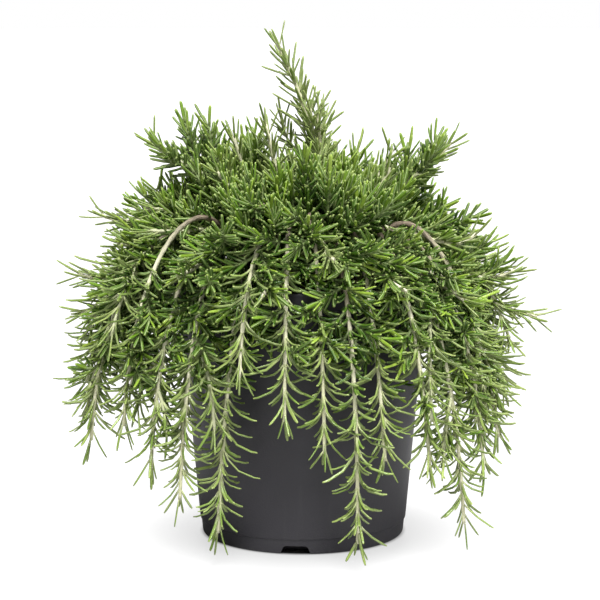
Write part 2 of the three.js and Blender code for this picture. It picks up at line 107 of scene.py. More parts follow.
def ring_faces(rings, sides, count=1):
    """Faces of `count` tubes made of rings: four-sided ones between neighbouring rings, and one
    over each end."""
    ring, side = np.meshgrid(np.arange(rings - 1), np.arange(sides), indexing="ij")
    here = ring * sides + side
    beside = ring * sides + (side + 1) % sides
    walls = np.stack([here, beside, beside + sides, here + sides], -1).reshape(-1, 4)
    around = np.arange(sides)
    ends = np.stack([around[::-1], around + (rings - 1) * sides])
    first = np.arange(count)[:, None, None] * rings * sides
    return [(walls + first).reshape(-1, 4), (ends + first).reshape(-1, sides)]


def lay_out(name, data):
    """An object that carries data, put into the scene."""
    laid = bpy.data.objects.new(name, data)
    bpy.context.scene.collection.objects.link(laid)
    return laid


def lay_mesh(name, points, face_sets):
    """Makes an object from its points and its faces, which come as arrays with one row a face."""
    mesh = bpy.data.meshes.new(name)
    points = np.asarray(points, np.float32).reshape(-1, 3)
    mesh.vertices.add(len(points))
    mesh.vertices.foreach_set("co", points.ravel())
    corners = np.concatenate([faces.ravel() for faces in face_sets]).astype(np.int32)
    sizes = np.concatenate([np.full(len(faces), faces.shape[1]) for faces in face_sets])
    mesh.loops.add(len(corners))
    mesh.loops.foreach_set("vertex_index", corners)
    mesh.polygons.add(len(sizes))
    mesh.polygons.foreach_set("loop_start", (np.cumsum(sizes) - sizes).astype(np.int32))
    mesh.update(calc_edges=True)
    mesh.validate()
    return lay_out(name, mesh)


def lay_shader(material, kind, settings=None, **inputs):
    """Adds a shader node. An input given as a socket is linked, any other is set on the node, and
    a colour is set opaque. in0, in1 and so on stand for inputs by their place."""
    made = material.nodes.new("ShaderNode" + kind)
    for name, value in (settings or {}).items():
        setattr(made, name, value)
    for name, value in inputs.items():
        by_place = name.startswith("in") and name[2:].isdigit()
        socket = made.inputs[int(name[2:])] if by_place else made.inputs[name.replace("_", " ")]
        if isinstance(value, bpy.types.NodeSocket):
            material.links.new(value, socket)
        else:
            socket.default_value = (*value, 1.0) if socket.type == "RGBA" else value
    return made


def blended(tree, share, low, high):
    """The colour between low and high by share, from 0 to 1."""
    return lay_shader(tree, "Mix", {"data_type": "RGBA"}, in0=share, in6=low, in7=high).outputs[2]


def stepped(tree, value, start, end):
    """A smooth step of value: 0 up to start, 1 from end on."""
    step = {"interpolation_type": "SMOOTHSTEP"}
    ramp = lay_shader(tree, "MapRange", step, Value=value, in1=start, in2=end)
    return ramp.outputs["Result"]


def scaled(tree, value, factor, offset=0.0):
    """value times factor, plus offset."""
    settings = {"operation": "MULTIPLY_ADD"}
    return lay_shader(tree, "Math", settings, in0=value, in1=factor, in2=offset).outputs[0]


def product(tree, one, other):
    """One value times another."""
    return lay_shader(tree, "Math", {"operation": "MULTIPLY"}, in0=one, in1=other).outputs[0]


def new_finish(name):
    """A new material, its nodes and the shader on it."""
    material = bpy.data.materials.new(name)
    material.use_nodes = True
    tree = material.node_tree
    return material, tree, tree.nodes["Principled BSDF"]


def make_mottle():
    """A node group for uneven surfaces: a broad and a fine noise, each from 0 to 1 about 0.5."""
    group = bpy.data.node_groups.new("mottle", "ShaderNodeTree")
    group.interface.new_socket("Vector", in_out="INPUT", socket_type="NodeSocketVector")
    numbers = {"Broad Scale": "INPUT", "Fine Scale": "INPUT", "Broad": "OUTPUT", "Fine": "OUTPUT"}
    for label, way in numbers.items():
        group.interface.new_socket(label, in_out=way, socket_type="NodeSocketFloat")
    entry = group.nodes.new("NodeGroupInput")
    outlet = group.nodes.new("NodeGroupOutput")
    for place, label in enumerate(("Broad", "Fine")):
        scale = entry.outputs[f"{label} Scale"]
        noise = lay_shader(group, "TexNoise", Vector=entry.outputs[0], Scale=scale, Detail=4.0)
        spread = stepped(group, noise.outputs["Fac"], 0.3, 0.7)
        group.links.new(spread, outlet.inputs[place])
    return group


mottle = make_mottle()


def mottled(tree, vector, broad, fine):
    """Places the mottle group and returns its broad and fine outputs."""
    scales = {"Broad_Scale": broad, "Fine_Scale": fine}
    made = lay_shader(tree, "Group", {"node_tree": mottle}, Vector=vector, **scales)
    return made.outputs["Broad"], made.outputs["Fine"]


def place_on(tree):
    """The place on the object, in metres."""
    return lay_shader(tree, "TexCoord").outputs["Object"]


def bumped(tree, shader, height, distance, strength=1.0):
    """Feeds a height, in units of `distance` metres, to the shader's normal."""
    bump = lay_shader(tree, "Bump", Height=height, Distance=distance, Strength=strength)
    tree.links.new(bump.outputs["Normal"], shader.inputs["Normal"])


def smooth_except(piece, degrees):
    """Smooth shading, with edges sharper than an angle kept crisp."""
    piece.data.shade_smooth()
    piece.data.set_sharp_from_angle(angle=np.radians(degrees))


def pot_profile():
    """The pot's section, from the middle of its underside round to the middle of its floor."""
    band_top = FOOT_BAND_HEIGHT
    ledge = POT_HEIGHT - POT_RIM_HEIGHT
    band = -FOOT_BAND_STEP
    outline = [
        (FLOOR_MIDDLE, 0),
        (wall_radius(0) + band, 0),
        (wall_radius(band_top) + band, band_top - RIDGE_HALF),
        (wall_radius(band_top), band_top + RIDGE_HALF),
        (wall_radius(ledge), ledge),
        (POT_RIM_RADIUS, ledge + RIM_UNDERCUT),
        (POT_RIM_RADIUS, POT_HEIGHT),
        (POT_NECK_RADIUS - POT_WALL, POT_HEIGHT),
        (wall_radius(0) + band - POT_WALL, POT_FLOOR),
        (FLOOR_MIDDLE, POT_FLOOR),
    ]
    profile = rounded(outline, CORNER_SOFTNESS)
    # The wall, from the third corner to the fourth, gets rings of its own, so that it can be a
    # little out of true.
    lower = 3 * CORNER_STEPS
    upper = lower + 1
    share = np.linspace(0, 1, WALL_RINGS + 2)[1:-1, None]
    wall = profile[lower] * (1 - share) + profile[upper] * share
    return np.vstack([profile[:upper], wall, profile[upper:]])


def notch_cutter(bearing):
    """A bar of rounded trapezoid section, wide at the ground, that is pushed into the pot's
    bottom corner at a bearing. It reaches past the pot below and outside."""
    flare = (NOTCH_FOOT_WIDTH - NOTCH_TOP_WIDTH) / 2 / NOTCH_HEIGHT
    below = -NOTCH_OVERSHOOT
    foot = NOTCH_FOOT_WIDTH / 2 - flare * below
    top = NOTCH_TOP_WIDTH / 2
    half = rounded([(foot, below), (top, NOTCH_HEIGHT), (0, NOTCH_HEIGHT)], [NOTCH_SOFTNESS])
    section = np.vstack([half[:-1], (half[:-1] * (-1, 1))[::-1]])
    inner = POT_FOOT_RADIUS - NOTCH_DEPTH
    outer = POT_FOOT_RADIUS + 3 * NOTCH_OVERSHOOT
    across, up = section.T
    angle = np.radians(bearing)
    rings = []
    for reach in (inner, outer):
        level = across * np.cos(angle) + reach * np.sin(angle)
        depth = across * np.sin(angle) - reach * np.cos(angle)
        rings.append(np.stack([level, depth, up], -1))
    return np.stack(rings)


def make_pot():
    """The profile turned about its axis, out of round by a tenth of a millimetre towards the rim as
    sin 2a and sin 3a, with the notches cut out."""
    profile = pot_profile()
    rings = turned(profile, POT_SIDES)
    angle = np.arctan2(rings[..., 0], -rings[..., 1])
    rise = np.clip(rings[..., 2:] / POT_HEIGHT, 0, 1)
    slack = 0.0012 * np.sin(2 * angle + 0.9) + 0.0008 * np.sin(3 * angle + 2.2)
    rings[..., :2] *= 1 + (slack[..., None] * rise)
    pot = lay_mesh("nursery_pot", rings, ring_faces(len(profile), POT_SIDES))
    for bearing in NOTCH_BEARINGS:
        section = notch_cutter(bearing)
        cutter = lay_mesh("notch", section, ring_faces(*section.shape[:2]))
        cut = pot.modifiers.new("notch", "BOOLEAN")
        cut.object = cutter
        cut.operation = "DIFFERENCE"
        cut.solver = "EXACT"
        shaped = pot.evaluated_get(bpy.context.evaluated_depsgraph_get())
        carved = bpy.data.meshes.new_from_object(shaped)
        pot.modifiers.clear()
        pot.data = carved
        bpy.data.objects.remove(cutter)
    smooth_except(pot, 28)
    return pot


def charcoal_plastic():
    """Satin charcoal plastic: a fine moulded grain, faint lengthwise scuffs and a little dust."""
    material, tree, shader = new_finish("charcoal_plastic")
    place = place_on(tree)
    broad, fine = mottled(tree, place, 22.0, 900.0)
    lengthwise = lay_shader(tree, "Mapping", Vector=place, Scale=(160.0, 160.0, 9.0))
    scuffs = lay_shader(tree, "TexNoise", Vector=lengthwise.outputs[0], Scale=1.0)
    scuffed = stepped(tree, scuffs.outputs["Fac"], 0.58, 0.76)
    charcoal = blended(tree, broad, DARK_CHARCOAL, LIGHT_CHARCOAL)
    dusted = blended(tree, product(tree, scuffed, 0.1), charcoal, POT_DUST)
    tree.links.new(dusted, shader.inputs["Base Color"])
    tree.links.new(scaled(tree, broad, 0.12, 0.46), shader.inputs["Roughness"])
    bumped(tree, shader, fine, 0.00006, 0.6)
    return material


pot = make_pot()
pot.data.materials.clear()
pot.data.materials.append(charcoal_plastic())
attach(pot, "root")
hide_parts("pot")

# ================================ potting mix
# Dark peat and composted bark, filled to two centimetres below the rim's edge and mounded a little
# under the plant. Its top is lumpy, with chips of bark lying in it.
MIX_GAP = 0.00045
MIX_EDGE_HEIGHT = 0.146
MIX_CROWN_HEIGHT = 0.151
MIX_EDGE_RADIUS = wall_radius(MIX_EDGE_HEIGHT) - POT_WALL - MIX_GAP
MIX_SIDES = 120
MIX_RINGS = 34
LOOSE_CORNER = 0.009
LUMP_WAVES = np.geomspace(0.04, 0.005, 8)
LUMP_SHARE = 0.012
CHIP_COUNT = 900
SMALL_CHIP = (0.002, 0.0012, 0.0005)
LARGE_CHIP = (0.0052, 0.0026, 0.0012)
UP = np.array([0.0, 0.0, 1.0])
mix_draw = np.random.default_rng(11)


def mix_height(radius):
    """The mounded top: highest on the axis and falling with the square of the radius."""
    return MIX_CROWN_HEIGHT - (MIX_CROWN_HEIGHT - MIX_EDGE_HEIGHT) * (radius / MIX_EDGE_RADIUS) ** 2


def lumps(x, y):
    """A sum of eight sine waves that cross at different angles, the shorter the lower."""
    bearing = mix_draw.uniform(0, np.pi, LUMP_WAVES.shape)
    phase = mix_draw.uniform(0, 2 * np.pi, LUMP_WAVES.shape)
    across = x[..., None] * np.cos(bearing) + y[..., None] * np.sin(bearing)
    return (LUMP_SHARE * LUMP_WAVES * np.sin(2 * np.pi * across / LUMP_WAVES + phase)).sum(-1)


def turned_about(axis, angle, vectors):
    """Vectors turned by an angle about an axis: v cos a + (k x v) sin a + k (k.v)(1 - cos a)."""
    cosine, sine = np.cos(angle)[..., None], np.sin(angle)[..., None]
    upon = (axis * vectors).sum(-1, keepdims=True)
    return vectors * cosine + np.cross(axis, vectors) * sine + axis * upon * (1 - cosine)


def make_mix():
    """The mix's profile turned about its axis, with lumps on its top. Each chip is a box with
    uneven corners, turned to a heading, tilted, and laid on the mounded top."""
    foot = POT_FOOT_RADIUS - FOOT_BAND_STEP - POT_WALL - MIX_GAP
    top = np.linspace(1, 0.03, MIX_RINGS) * MIX_EDGE_RADIUS
    bottom = POT_FLOOR + MIX_GAP
    side = [(0.01, bottom), (foot - LOOSE_CORNER, bottom), (foot, bottom + LOOSE_CORNER)]
    profile = side + list(zip(top, mix_height(top)))
    rings = turned(profile, MIX_SIDES)
    surface = rings[len(side) :]
    surface[..., 2] += lumps(surface[..., 0], surface[..., 1])
    body_faces = ring_faces(len(profile), MIX_SIDES)

    radius = MIX_EDGE_RADIUS * 0.97 * np.sqrt(mix_draw.uniform(0, 1, CHIP_COUNT))
    bearing = mix_draw.uniform(0, 2 * np.pi, CHIP_COUNT)
    middle = np.stack([radius * np.cos(bearing), radius * np.sin(bearing), mix_height(radius)], -1)
    middle[:, 2] += mix_draw.uniform(-0.0004, 0.0012, CHIP_COUNT)
    size = mix_draw.uniform(SMALL_CHIP, LARGE_CHIP, (CHIP_COUNT, 3))
    corner = np.array([(-1, -1), (1, -1), (1, 1), (-1, 1)])
    box = np.array([(x, y, z) for z in (-1, 1) for x, y in corner], float)
    chip = box * size[:, None] / 2 * mix_draw.uniform(0.65, 1.2, (CHIP_COUNT, 8, 3))
    axis = unit(mix_draw.normal(size=(CHIP_COUNT, 1, 3)) * (1, 1, 0.5))
    spin = mix_draw.uniform(-0.7, 0.7, (CHIP_COUNT, 1))
    heading = mix_draw.uniform(0, 2 * np.pi, (CHIP_COUNT, 1))
    chip = turned_about(UP, heading, chip)
    chip = turned_about(axis, spin, chip)
    chip += middle[:, None]
    chip_walls, chip_ends = ring_faces(2, 4, CHIP_COUNT)
    first = len(rings) * MIX_SIDES
    points = np.vstack([rings.reshape(-1, 3), chip.reshape(-1, 3)])
    mix = lay_mesh("potting_mix", points, [*body_faces, chip_walls + first, chip_ends + first])
    tint = np.repeat(mix_draw.uniform(0.15, 1, CHIP_COUNT), 8)
    shade = mix.data.attributes.new("chip", "FLOAT", "POINT")
    shade.data.foreach_set("value", np.concatenate([np.zeros(first), tint]).astype(np.float32))
    smooth_except(mix, 40)
    return mix


def compost():
    """Moist peat, in broad patches from nearly black to dark brown, with bark chips from dark to
    reddish brown.
    """
    material, tree, shader = new_finish("compost")
    broad, fine = mottled(tree, place_on(tree), 130.0, 700.0)
    chip = lay_shader(tree, "Attribute", {"attribute_name": "chip"}).outputs["Fac"]
    peat = blended(tree, broad, (0.012, 0.008, 0.005), (0.035, 0.023, 0.014))
    bark = blended(tree, chip, (0.03, 0.018, 0.01), (0.13, 0.075, 0.042))
    speckled = blended(tree, fine, peat, bark)
    colour = blended(tree, stepped(tree, chip, 0.05, 0.12), speckled, bark)
    tree.links.new(colour, shader.inputs["Base Color"])
    shader.inputs["Roughness"].default_value = 0.92
    bumped(tree, shader, fine, 0.0004, 0.8)
    return material


mix = make_mix()
mix.data.materials.append(compost())
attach(mix, "root")
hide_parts("soil")

# ================================ stems, branches, shoots and leaves
# The rosemary itself: woody stems that stand in the mix, arch over the rim and hang down, brown at
# the foot and pale towards the tip. Branches and short side shoots grow from them and make the
# mound dense, and leaves stand on all of them in crossed pairs with small ones in their joints.

# Each stem: its tip's bearing in degrees (0 is the front, 90 the right), distance from the axis and
# height, the pitch at which the tip points, the height of its arch, and its foot's bearing and
# distance. Lengths in this table are in millimetres.
STEMS = {
    "trailing": [
        (-152, 114, 62, -84, 92, -161, 48),
        (-136, 120, 48, -84, 98, -144, 42),
        (-116, 128, 84, -80, 88, -131, 48),
        (-92, 136, 86, -78, 92, -109, 42),
        (-67, 142, 70, -86, 84, -75, 48),
        (-57, 130, 82, -86, 96, -60, 42),
        (-49, 122, 58, -86, 82, -53, 48),
        (-38, 120, 42, -86, 94, -41, 48),
        (-28, 109, 22, -84, 126, -18, 47),
        (-20, 110, 118, -84, 80, -11, 48),
        (-6, 106, 92, -86, 90, -9, 42),
        (7, 104, 72, -82, 110, 0, 48),
        (17, 111, 18, -90, 96, 12, 48),
        (27, 108, 66, -82, 98, 23, 48),
        (40, 118, 62, -84, 92, 36, 48),
        (53, 123, 22, -86, 98, 45, 42),
        (62, 126, 52, -86, 84, 56, 42),
        (73, 128, 68, -80, 92, 68, 42),
        (96, 132, 86, -78, 88, 99, 42),
        (112, 130, 52, -82, 96, 116, 48),
        (131, 124, 80, -82, 84, 132, 48),
        (152, 118, 60, -84, 94, 152, 42),
        (176, 114, 50, -84, 90, 176, 42),
    ],
    "arching": [
        (-168, 128, 176, 8, 92, -172, 29),
        (-138, 134, 186, 14, 92, -158, 35),
        (-108, 138, 158, 4, 88, -120, 35),
        (-90, 128, 204, 25, 96, -102, 29),
        (-84, 143, 168, 16, 88, -88, 29),
        (-77, 142, 146, -18, 98, -76, 35),
        (-73, 120, 190, 14, 92, -94, 24),
        (-42, 112, 176, -4, 92, -56, 29),
        (-13, 106, 166, -14, 84, -36, 40),
        (10, 104, 188, 10, 94, 7, 29),
        (33, 112, 168, -8, 92, 29, 29),
        (57, 116, 158, -30, 100, 46, 35),
        (80, 110, 194, 44, 92, 78, 29),
        (86, 134, 170, 32, 90, 84, 35),
        (91, 150, 138, -14, 94, 90, 29),
        (115, 134, 170, 12, 92, 134, 29),
        (138, 132, 190, 20, 94, 148, 29),
        (164, 134, 162, 2, 90, 164, 29),
    ],
    "upright": [
        (-140, 66, 242, 60, 62, -152, 17),
        (-112, 70, 248, 62, 62, -125, 17),
        (-92, 44, 254, 74, 62, -111, 23),
        (-86, 95, 252, 56, 88, -77, 23),
        (-58, 62, 234, 58, 60, -44, 23),
        (-20, 60, 216, 50, 66, -18, 17),
        (22, 58, 226, 58, 60, 17, 17),
        (64, 60, 236, 74, 60, 60, 23),
        (92, 94, 250, 52, 62, 98, 23),
        (108, 60, 244, 72, 62, 111, 17),
        (138, 54, 244, 66, 62, 142, 23),
        (172, 64, 240, 62, 62, 171, 23),
    ],
    "leading": [
        (-60, 27, 262, 74, 76, -68, 6),
        (76, 11, 274, 76, 84, 73, 12),
        (100, -16, 312, 112, 104, 124, 12),
        (160, 26, 250, 74, 70, 159, 12),
    ],
}
MILLIMETRE = 0.001
FOOT_DEPTH = 0.014
SHOULDER_OUT = 0.009
KNEE_BACK = 0.45
KNEE_HANG = 0.3
STEM_CURVE = np.linspace(0, 1, 300)
STEM_STEP = 0.0028
PLANT_REACH = 0.150
FRONT_REACH = 0.124

# Bark: radii at the root, in the middle and at the tip, the number of sides, how woody it is at the
# root and at the tip, and how green where it isn't woody.
BARK_TERMS = ("radii", "sides", "woodiness", "greenness")
BARK_ROWS = {
    "stem": ((0.0020, 0.00135, 0.0010), 9, (1.0, 0.0), 0.0),
    "branch": ((0.0012, 0.0011, 0.0009), 7, (0.3, 0.0), 0.35),
    "shoot": ((0.0010, 0.00085, 0.0006), 6, (0.3, 0.0), 0.85),
}
JOINT_SWELL = 0.2

# How each kind of stem is clothed: the shares of its length at which its leaves and its side shoots
# start, the gap between shoots, how much they shrink towards the tip, the end without shoots, and
# which habit their leaves have.
GROWTH_TERMS = ("leafy_from", "shoots_from", "shoot_gap", "shoot_shrink", "plain_end", "shoot_habit")
GROWTH_ROWS = {
    "trailing": (0.22, 0.24, 0.0070, 0.6, 0.034, "shoot"),
    "arching": (0.26, 0.22, 0.0074, 0.42, 0.034, "greyish_shoot"),
    "upright": (0.24, 0.2, 0.0078, 0.2, 0.018, "greyish_shoot"),
    "leading": (0.22, 0.16, 0.0120, 0.3, 0.048, "silvery_shoot"),
}
SHOOT_TURNS = (8, -62, 55, -20, 74, -82)
HANGING_TURN = 70
SHOOT_LENGTH = 0.036
SHOOT_JITTER = 0.3
SHOOT_CURVE = np.linspace(0, 1, 12)
SHOOT_STEPS = 6
SHOOT_CLEARANCE = 0.003
# Below these heights shoots get shorter, by a share, and fewer, and the change takes these lengths.
SHORTER_BELOW = POT_HEIGHT + 0.005
SHORTER_RUN = 0.075
SHORTER_SHARE = 0.52
FEWER_BELOW = POT_HEIGHT - 0.01
FEWER_RUN = 0.065
CLUMP_SIZE = 0.052
CLUMP_PHASE = (0.3, 2.6, 3.6)

# Its branches: the shares of its length where they leave it, the share of the rest that they run
# for, how much they rise, and how far they may reach past it.
BRANCH_TERMS = ("places", "run", "rise", "overreach")
BRANCH_ROWS = {
    "trailing": ((0.36, 0.47, 0.58, 0.68, 0.79), 0.74, 0.1, 0.004),
    "arching": ((0.42, 0.55, 0.68), 0.7, 0.3, 0.004),
    "upright": ((0.5, 0.66), 0.6, -0.05, 0.018),
    "leading": ((0.4, 0.5, 0.6), 0.5, 0.5, 0.004),
}
BRANCH_CURVE = np.linspace(0, 1, 14)
BRANCH_BEND = 0.42
BRANCH_SHIFT = 0.03
BRANCH_JITTER = (-0.22, 0.14)
BRANCH_HEADROOM = 0.012
BRANCH_FLOOR = 0.016
BRANCH_CLEARANCE = 0.004
STEM_SEED = 1000
BRANCH_SEED = 800

# How leaves stand on each kind of stem and on side shoots: the gap between their joints, how far
# they lean from the stem in degrees, their length, the stretch before the tip in which they are
# young, how silvery they are near the tip, and the stretch before the tip that is silvery. The
# silvery grey is partly the leaves' own grey and partly painted light wrap and sheen on outer shoots.
HABIT_TERMS = ("gap", "lean", "length", "young_run", "silver", "silver_run")
HABIT_ROWS = {
    "trailing": (0.0078, 33, 0.0305, 0.034, 1.0, 0.075),
    "arching": (0.0060, 40, 0.0225, 0.034, 1.1, 0.080),
    "upright": (0.0062, 38, 0.0190, 0.034, 0.8, 0.055),
    "leading": (0.0060, 40, 0.0215, 0.034, 1.2, 0.120),
    "shoot": (0.0034, 50, 0.0134, 0.018, 0.12, 0.030),
    "greyish_shoot": (0.0036, 48, 0.0142, 0.018, 0.3, 0.034),
    "silvery_shoot": (0.0050, 44, 0.0160, 0.018, 1.2, 0.060),
}
TIP_GAP = 0.0042
TIP_RUN = 0.022
TIP_LEAN = 22
TIP_LEAF_LENGTH = 0.0150
OLD_LEAF_LENGTH = 0.016
AGEING_RUN = 0.03
LEAF_JITTER = (-0.24, 0.16)
TURN_SPREAD = 16
LEAN_SPREAD = 9
ROLL_SPREAD = 0.55

# Two trailing stems whose bark shows: in these shares of their length no shoots and few leaves stand
# before them, towards a viewer in front and a little above.
OPEN_ARCHES = {6: (0.30, 0.55), 18: (0.30, 0.54)}
OPEN_BREADTH = 0.0055
OPEN_BEHIND = 0.002
OPEN_SHARE = 0.86
OPEN_SIDE = np.array([0.0, -0.975, 0.222])

# The leaves at one joint: their turn round the stem in degrees, their size, and how much further
# they lean. Two full leaves face each other, and small ones stand in their joints.
STEM_JOINT = [(0, 1, 0), (180, 1, 0), (26, 0.76, -8), (-32, 0.6, 12), (206, 0.72, -8), (148, 0.62, 12)]
SHOOT_JOINT = [(0, 1, 0), (180, 1, 0), (82, 0.72, 6), (262, 0.66, -6)]
JOINT_TURN = 90
BARE_BASE = 0.004
LEAF_SEAT = 0.0006
LEAF_CLEARANCE = 0.0007
TESTED_ALONG = (0.45, 0.75, 1)

# The leaf's section, as shares of its half width and half thickness: margin, crown, groove,
# crown, margin and, underneath, the midrib. The two rows after it say how far across the leaf
# each point lies and how far round towards the underside.
LEAF_SECTION = np.array([(1, -0.2), (0.55, 0.8), (0, 0.35), (-0.55, 0.8), (-1, -0.2), (0, -0.9)])
SECTION_ACROSS = np.array([1, 0.55, 0, 0.55, 1, 0])
SECTION_UNDER = np.array([0.5, 0, 0, 0, 0.5, 1])
# Along the leaf: where its rings lie, and how wide and thick it is there.
LEAF_HALF_WIDTH = 0.00120
LEAF_HALF_THICKNESS = 0.00090
LEAF_ALONG = np.array([0, 0.2, 0.52, 0.88, 1])
LEAF_WIDE = np.array([0.5, 0.92, 1, 0.93, 0.55])
LEAF_THICK = np.array([0.9, 1, 1, 0.95, 0.6])


def by_kind(terms, rows):
    """A table of rows as one set of named terms for each kind."""
    return {kind: SimpleNamespace(**dict(zip(terms, row))) for kind, row in rows.items()}


BARK = by_kind(BARK_TERMS, BARK_ROWS)
GROWTH = by_kind(GROWTH_TERMS, GROWTH_ROWS)
BRANCHING = by_kind(BRANCH_TERMS, BRANCH_ROWS)
HABITS = by_kind(HABIT_TERMS, HABIT_ROWS)


def outward(bearing):
    """The level direction at a bearing: 0 towards the viewer, 90 to the viewer's right."""
    angle = np.radians(bearing)
    return np.array([np.sin(angle), -np.cos(angle), 0.0])


def square_to(vectors, axis):
    """The part of each vector that is square to its axis, made one long."""
    return unit(vectors - (vectors * axis).sum(-1, keepdims=True) * axis)


def drawn_curve(controls, t):
    """A smooth curve drawn by its control points: neighbours p and q blend into (1-t)p + tq,
    pass after pass, until one point is left."""
    level = np.asarray(controls)[:, None, :]
    share = t[:, None]
    while len(level) > 1:
        level = level[:-1] * (1 - share) + level[1:] * share
    return level[0]


def lay_axis(line, side, step):
    """A centre line cut into even steps, with its frame at every point: along it, across it, and
    over it, which is the outer side of an arch. over = across x along."""
    run = np.r_[0, np.cumsum(np.linalg.norm(np.diff(line, axis=0), axis=1))]
    count = max(int(round(run[-1] / step)), 5) + 1
    place = np.linspace(0, run[-1], count)
    line = np.stack([np.interp(place, run, line[:, k]) for k in range(3)], -1)
    along = unit(np.gradient(line, axis=0))
    across = square_to(np.broadcast_to(side, along.shape), along)
    return SimpleNamespace(
        line=line, along=along, across=across, over=np.cross(across, along), place=place, length=run[-1]
    )


def axis_at(axis, places):
    """The axis's point, along, across and over at distances from its root."""
    found = []
    for values in (axis.line, axis.along, axis.across, axis.over):
        found.append(np.stack([np.interp(places, axis.place, values[:, k]) for k in range(3)], -1))
    return found


def stem_axis(row):
    """A stem rises from its foot over its shoulder and knee into its tip, as a cubic curve. The
    knee lies back from the tip against its heading, further where the tip hangs."""
    bearing, reach, height, pitch, arch, foot_bearing, foot_radius = row
    foot = outward(foot_bearing) * foot_radius * MILLIMETRE
    foot[2] = mix_height(foot_radius * MILLIMETRE)
    tip = outward(bearing) * reach * MILLIMETRE + UP * height * MILLIMETRE
    shoulder = foot + UP * arch * MILLIMETRE + outward(foot_bearing) * SHOULDER_OUT
    slope = np.radians(pitch)
    heading = outward(bearing) * np.cos(slope) + UP * np.sin(slope)
    hang = KNEE_BACK + KNEE_HANG * max(0.0, -np.sin(slope))
    knee = tip - heading * hang * np.linalg.norm(tip - shoulder)
    free = drawn_curve([foot, shoulder, knee, tip], STEM_CURVE)
    line = np.vstack([foot - UP * FOOT_DEPTH, free])
    return lay_axis(line, np.cross(outward(bearing), UP), STEM_STEP)


def shoot_axes(stem, growth, draw):
    """Side shoots start square to the stem on its outer side and turn up towards the light, or
    hang with the stem where the stem hangs. They are shorter below the rim and fewer there, most
    of all in front, and stand in clumps above it. Each is a quadratic curve."""
    first = growth.shoots_from * stem.length
    last = stem.length - growth.plain_end
    count = int((last - first) / growth.shoot_gap)
    shift = draw.uniform(-SHOOT_JITTER, SHOOT_JITTER, count)
    places = first + growth.shoot_gap * (np.arange(count) + shift)
    point, along, across, over = axis_at(stem, places)
    spread = np.radians(np.resize(SHOOT_TURNS, count))
    spread = (spread + draw.normal(0, 0.2, count))[:, None]
    hanging = np.clip(-along[:, 2:] * 1.3 - 0.2, 0, 1)
    spread += np.radians(HANGING_TURN) * np.sign(spread) * hanging
    away = over * np.cos(spread) + across * np.sin(spread)
    frontness = in_front(point)
    below_rim = np.clip((SHORTER_BELOW - point[:, 2]) / SHORTER_RUN, 0, 1)
    level = unit(point * (1, 1, 0))
    heading = unit(0.75 * away + 0.55 * along + 0.14 * draw.normal(size=away.shape))
    lift = unit(heading * (0.35 + 0.4 * hanging) + UP * (0.8 - 0.55 * hanging) + 0.3 * level)
    crowding = clumps(point) * (1 - below_rim)
    length = SHOOT_LENGTH * (1 - SHORTER_SHARE * below_rim)
    length *= 1 + draw.uniform(-SHOOT_JITTER, SHOOT_JITTER, count)
    length *= 1 - growth.shoot_shrink * places / stem.length
    length *= 1 + 0.4 * crowding * (1 - 0.7 * frontness)
    length = np.minimum(length, 0.9 * (stem.length - places) + 0.006)
    axes = []
    hem = np.clip((FEWER_BELOW - point[:, 2]) / FEWER_RUN, 0, 1)
    keep = draw.uniform(0, 1, count) > hem * (0.2 + 0.65 * frontness**2)
    chosen = np.flatnonzero(keep & (crowding > -0.45 - 0.4 * frontness))
    for k in chosen:
        bend = point[k] + heading[k] * length[k] * 0.5
        tip = bend + lift[k] * length[k] * 0.5
        line = drawn_curve([point[k], bend, tip], SHOOT_CURVE)
        is_clear = clear_of_pot(line[4:], SHOOT_CLEARANCE).all() and not hides_an_arch(line).any()
        if within_reach(tip) and is_clear:
            side = np.cross(heading[k], along[k])
            axes.append(lay_axis(line, side, length[k] / SHOOT_STEPS))
    return axes


def in_front(points):
    """1 straight in front of the axis and 0 beside or behind it: the square of the cosine."""
    return np.clip(-unit(points * (1, 1, 0))[..., 1], 0, 1) ** 2


def within_reach(tip):
    """Whether a tip lies inside the plant's outline in plan, which is flatter in front."""
    reach = PLANT_REACH + (FRONT_REACH - PLANT_REACH) * in_front(tip)
    return np.linalg.norm(tip[:2]) < reach


def branch_axes(stem, habit, draw):
    """Branches leave the stem forwards to its left and right by turns, and then run on beside it,
    drooping where it hangs and rising a little where it doesn't. They keep about inside their
    stem's own reach and height, and few hang in front. Each is a quadratic curve."""
    places = stem.length * (np.array(habit.places) + draw.uniform(-BRANCH_SHIFT, BRANCH_SHIFT))
    point, along, across, over = axis_at(stem, places)
    side = across * draw.choice((-1, 1)) * ((-1.0) ** np.arange(len(places)))[:, None]
    side = unit(side + over * draw.uniform(-0.25, 0.6, (len(places), 1)))
    hanging = np.clip(-along[:, 2:] * 1.6 + 0.3, 0, 1)
    heading = unit(0.72 * along + 0.7 * side)
    onward = unit(0.7 * along + 0.25 * side + UP * (habit.rise - 1.3 * hanging))
    furthest = np.linalg.norm(stem.line[:, :2], axis=1).max() + habit.overreach
    highest = stem.line[:, 2].max() + BRANCH_HEADROOM
    length = habit.run * (stem.length - places) * (1 + draw.uniform(*BRANCH_JITTER, len(places)))
    frontness = in_front(point)
    length *= 1 - 0.35 * frontness * hanging[:, 0]
    chosen = np.flatnonzero(draw.uniform(0, 1, len(places)) > 1.5 * frontness * hanging[:, 0])
    axes = []
    for k in chosen:
        bend = point[k] + heading[k] * length[k] * BRANCH_BEND
        tip = bend + onward[k] * length[k] * (1 - BRANCH_BEND)
        line = drawn_curve([point[k], bend, tip], BRANCH_CURVE)
        is_clear = clear_of_pot(line[3:], BRANCH_CLEARANCE).all() and not hides_an_arch(line).any()
        is_inside = within_reach(tip) and np.linalg.norm(tip[:2]) < furthest
        if is_clear and is_inside and BRANCH_FLOOR < tip[2] < highest:
            axes.append(lay_axis(line, side[k], STEM_STEP))
    return axes


